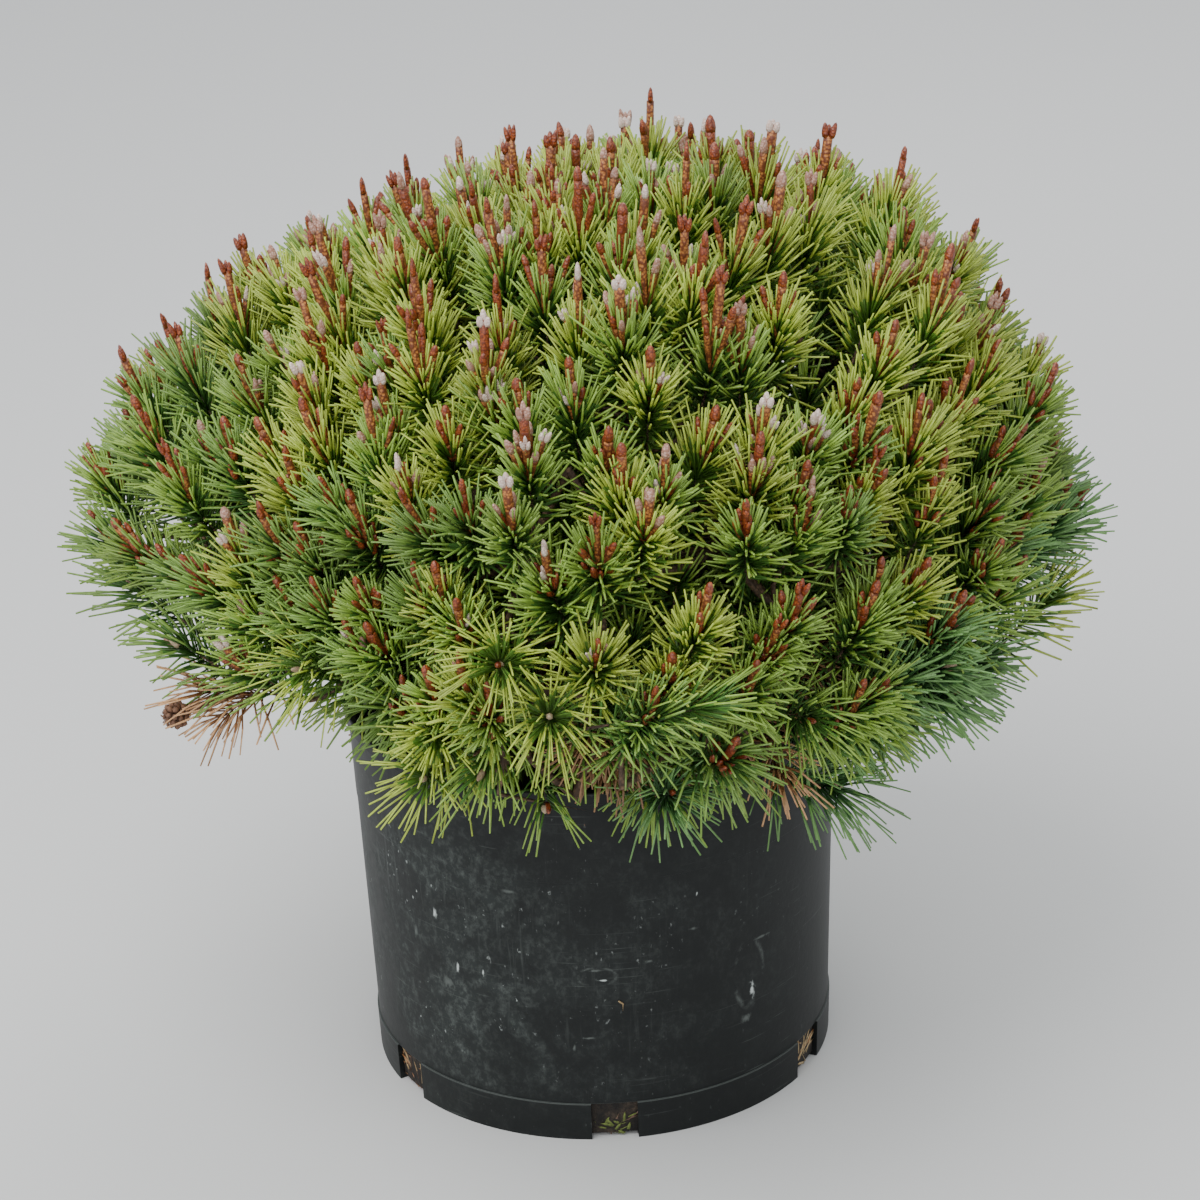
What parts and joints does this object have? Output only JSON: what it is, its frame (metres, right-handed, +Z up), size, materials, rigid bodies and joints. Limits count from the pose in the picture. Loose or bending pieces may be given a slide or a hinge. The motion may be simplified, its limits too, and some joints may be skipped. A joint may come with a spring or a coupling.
{
  "type": "potted dwarf pine",
  "caption": "Low rounded dwarf mountain pine with dense tufts of short needles and red-brown candles, growing in a round black plastic nursery pot.",
  "frame": {"origin": "centre of the pot's flat underside", "axes": "+Z up, along the pot's axis; -Y towards the viewer of the picture, +X to the right there"},
  "size_m": [0.7258, 0.7076, 0.6702],
  "materials": {
    "black_plastic": "dull, scuffed and dusty",
    "potting_mix": "damp and crumbly",
    "bark": "rough and scaly",
    "needles": "waxy, half matte"
  },
  "bodies": {
    "root": {"pot": "black_plastic", "potting_mix": "potting_mix", "stem": "bark", "leader": "bark", "bough_lower_1": "bark", "bough_lower_2": "bark", "bough_lower_3": "bark", "bough_lower_4": "bark", "bough_lower_5": "bark", "bough_lower_6": "bark", "bough_lower_7": "bark", "bough_lower_8": "bark", "bough_lower_9": "bark", "bough_middle_1": "bark", "bough_middle_2": "bark", "bough_middle_3": "bark", "bough_middle_4": "bark", "bough_middle_5": "bark", "bough_middle_6": "bark", "bough_middle_7": "bark", "bough_middle_8": "bark", "bough_upper_1": "bark", "bough_upper_2": "bark", "bough_upper_3": "bark", "bough_upper_4": "bark", "bough_upper_5": "bark", "foliage_top": "needles", "foliage_lower_1": "needles", "foliage_lower_2": "needles", "foliage_lower_3": "needles", "foliage_lower_4": "needles", "foliage_lower_5": "needles", "foliage_lower_6": "needles", "foliage_lower_7": "needles", "foliage_lower_8": "needles", "foliage_lower_9": "needles", "foliage_middle_1": "needles", "foliage_middle_2": "needles", "foliage_middle_3": "needles", "foliage_middle_4": "needles", "foliage_middle_5": "needles", "foliage_middle_6": "needles", "foliage_middle_7": "needles", "foliage_middle_8": "needles", "foliage_upper_1": "needles", "foliage_upper_2": "needles", "foliage_upper_3": "needles", "foliage_upper_4": "needles", "foliage_upper_5": "needles"}
  },
  "joints": []
}
